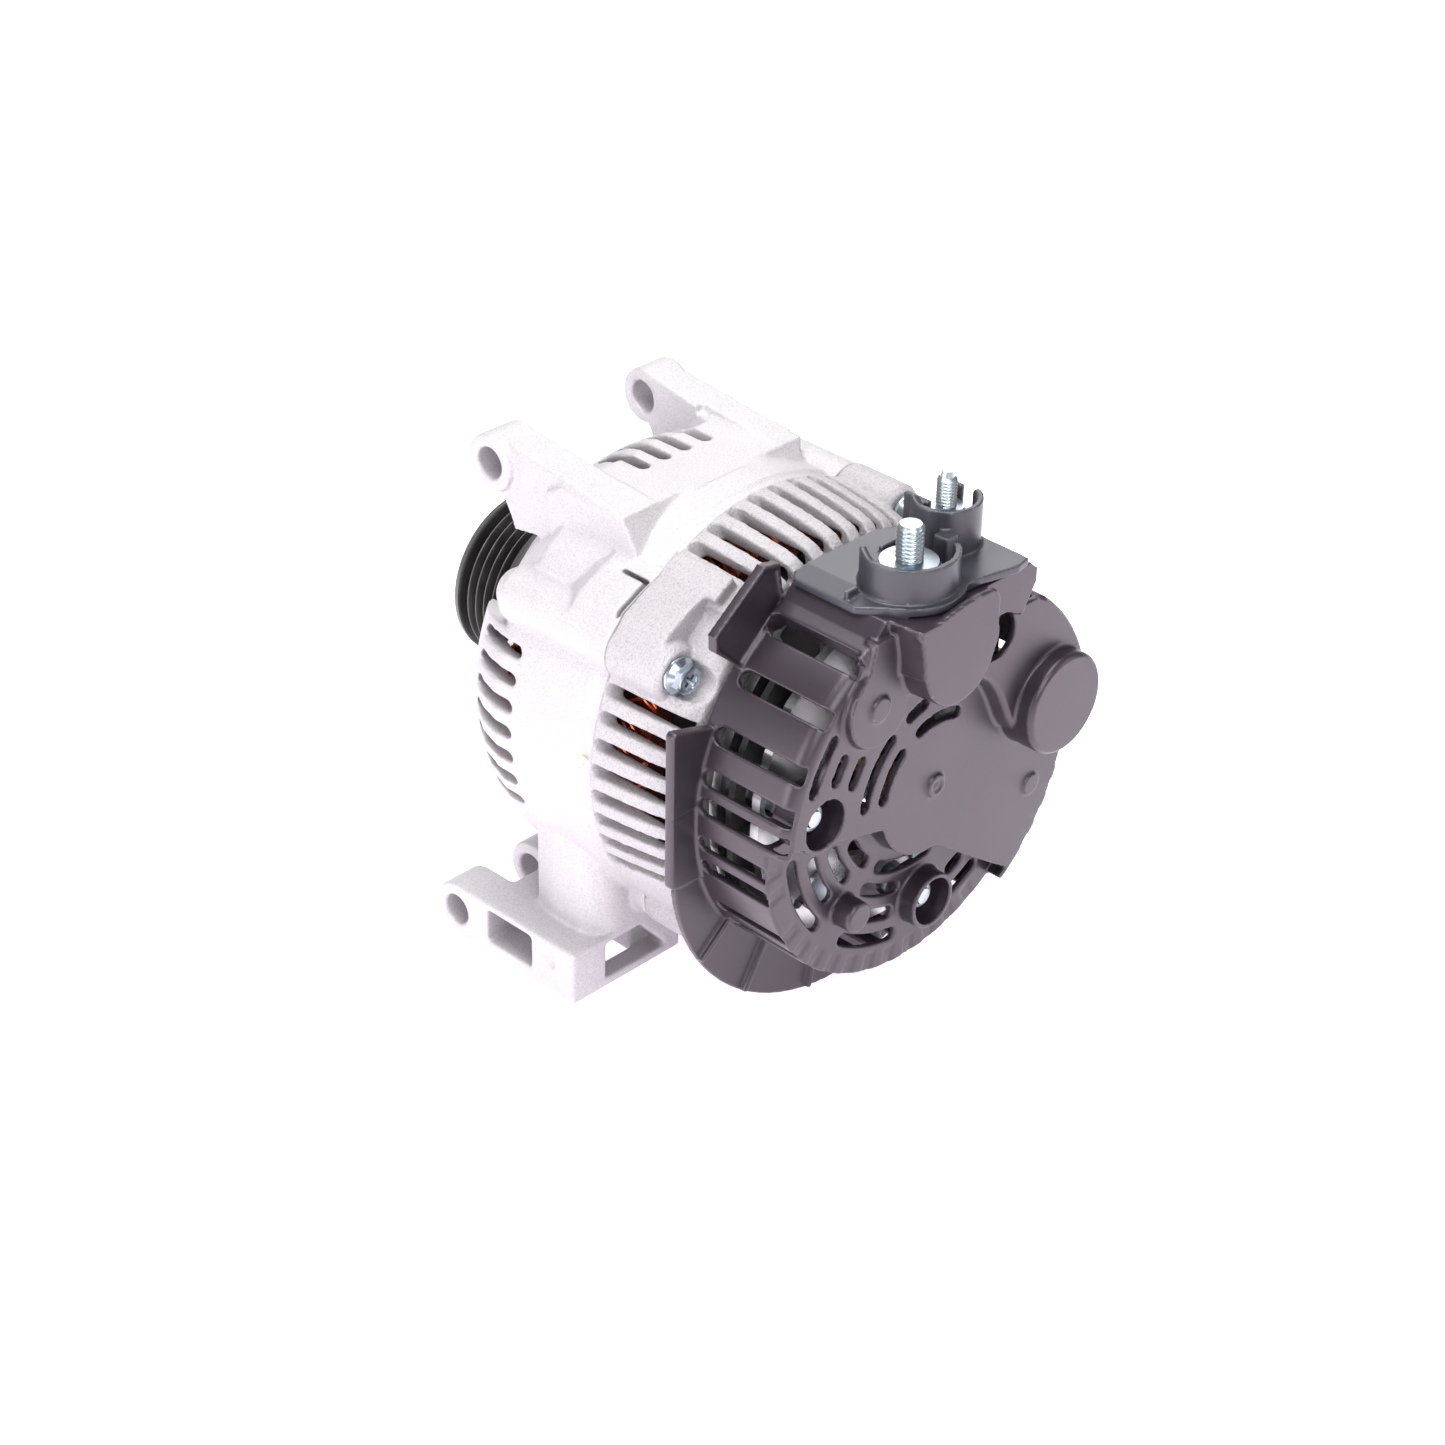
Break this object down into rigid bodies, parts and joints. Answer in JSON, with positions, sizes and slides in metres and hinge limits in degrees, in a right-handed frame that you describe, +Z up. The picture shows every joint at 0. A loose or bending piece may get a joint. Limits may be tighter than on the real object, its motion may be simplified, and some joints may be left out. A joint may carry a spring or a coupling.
{
  "type": "car alternator",
  "caption": "Car alternator with finned aluminium housings, ribbed belt pulley, two top ears and a lower mounting foot, and a slotted plastic rear cover with guarded terminal studs.",
  "frame": {"origin": "middle of the bounding box in X and Y, at its lowest point in Z (the underside of the mounting foot and the rear cover's lower edge)", "axes": "+Y along the rotor shaft towards the pulley, +Z up through the terminal studs, +X to the side away from the mounting foot's outer face"},
  "size_m": [0.1404, 0.193, 0.1738],
  "materials": {
    "cast_aluminium": "bright cast, fine sand-like grain",
    "heat_sink_aluminium": "stamped, dull",
    "laminated_steel": "stacked laminations",
    "copper_winding": "varnished copper wire",
    "machined_steel": "turned",
    "dark_steel": "forged, dark",
    "zinc_steel": "bluish zinc plate",
    "cover_plastic": "moulded, warm dark grey",
    "terminal_plastic": "moulded, cool grey",
    "board_plastic": "moulded, near black",
    "black_paint": "satin black",
    "bearing_steel": "polished",
    "carbon": "pressed carbon",
    "bare_copper": "bare copper"
  },
  "bodies": {
    "housing": {"front_housing": "cast_aluminium", "rear_housing": "cast_aluminium", "stator_core": "laminated_steel", "stator_winding": "copper_winding", "brush_spring_1": "machined_steel", "brush_spring_2": "machined_steel", "terminal_board": "board_plastic", "regulator": "board_plastic", "brush_holder": "board_plastic", "output_strap": "bare_copper", "bearing_retainer": "zinc_steel", "retainer_screw_1": "zinc_steel", "retainer_screw_2": "zinc_steel", "retainer_screw_3": "zinc_steel", "retainer_screw_4": "zinc_steel", "negative_diode_1": "zinc_steel", "negative_diode_2": "zinc_steel", "negative_diode_3": "zinc_steel", "positive_diode_1": "zinc_steel", "positive_diode_2": "zinc_steel", "positive_diode_3": "zinc_steel", "cover_stud_1": "zinc_steel", "cover_stud_2": "zinc_steel", "cover_nut_1": "zinc_steel", "cover_nut_2": "zinc_steel", "b_plus_stud": "zinc_steel", "signal_stud": "zinc_steel", "through_bolt_1": "zinc_steel", "through_bolt_2": "zinc_steel", "through_bolt_3": "zinc_steel", "through_bolt_4": "zinc_steel", "front_bearing_outer_race": "bearing_steel", "rear_bearing_outer_race": "bearing_steel", "negative_heat_sink": "heat_sink_aluminium", "positive_heat_sink": "heat_sink_aluminium", "rear_cover": "cover_plastic", "terminal_block": "terminal_plastic"},
    "rotor": {"rotor_shaft": "machined_steel", "claw_pole_front": "dark_steel", "claw_pole_rear": "dark_steel", "field_coil": "copper_winding", "front_fan": "dark_steel", "rear_fan": "dark_steel", "slip_ring_sleeve": "board_plastic", "slip_ring_1": "bare_copper", "slip_ring_2": "bare_copper", "front_collar": "machined_steel", "pulley": "black_paint", "pulley_nut": "zinc_steel", "front_bearing_inner_race": "bearing_steel", "rear_bearing_inner_race": "bearing_steel"},
    "front_cage": {"front_bearing_balls": "bearing_steel"},
    "rear_cage": {"rear_bearing_balls": "bearing_steel"},
    "brush_1": {"brush_1": "carbon"},
    "brush_2": {"brush_2": "carbon"}
  },
  "joints": [
    {"name": "rotor_spin", "type": "hinge", "parent": "housing", "child": "rotor", "pos_m": [0.00165, 0, 0.08456], "axis": [0, 1, 0], "continuous": true},
    {"name": "front_cage_spin", "type": "hinge", "parent": "housing", "child": "front_cage", "pos_m": [0.00165, 0, 0.08456], "axis": [0, 1, 0], "continuous": true},
    {"name": "rear_cage_spin", "type": "hinge", "parent": "housing", "child": "rear_cage", "pos_m": [0.00165, 0, 0.08456], "axis": [0, 1, 0], "continuous": true},
    {"name": "brush_1_slide", "type": "slide", "parent": "housing", "child": "brush_1", "axis": [0, 0, 1], "range_m": [0, 0.005], "stiffness_N_per_m": 180, "springref_m": -0.012, "deforming": ["brush_spring_1"]},
    {"name": "brush_2_slide", "type": "slide", "parent": "housing", "child": "brush_2", "axis": [0, 0, 1], "range_m": [0, 0.005], "stiffness_N_per_m": 180, "springref_m": -0.012, "deforming": ["brush_spring_2"]}
  ],
  "couplings": [
    {"joint": "front_cage_spin", "follows": "rotor_spin", "ratio": 0.3931},
    {"joint": "rear_cage_spin", "follows": "rotor_spin", "ratio": 0.4167}
  ]
}
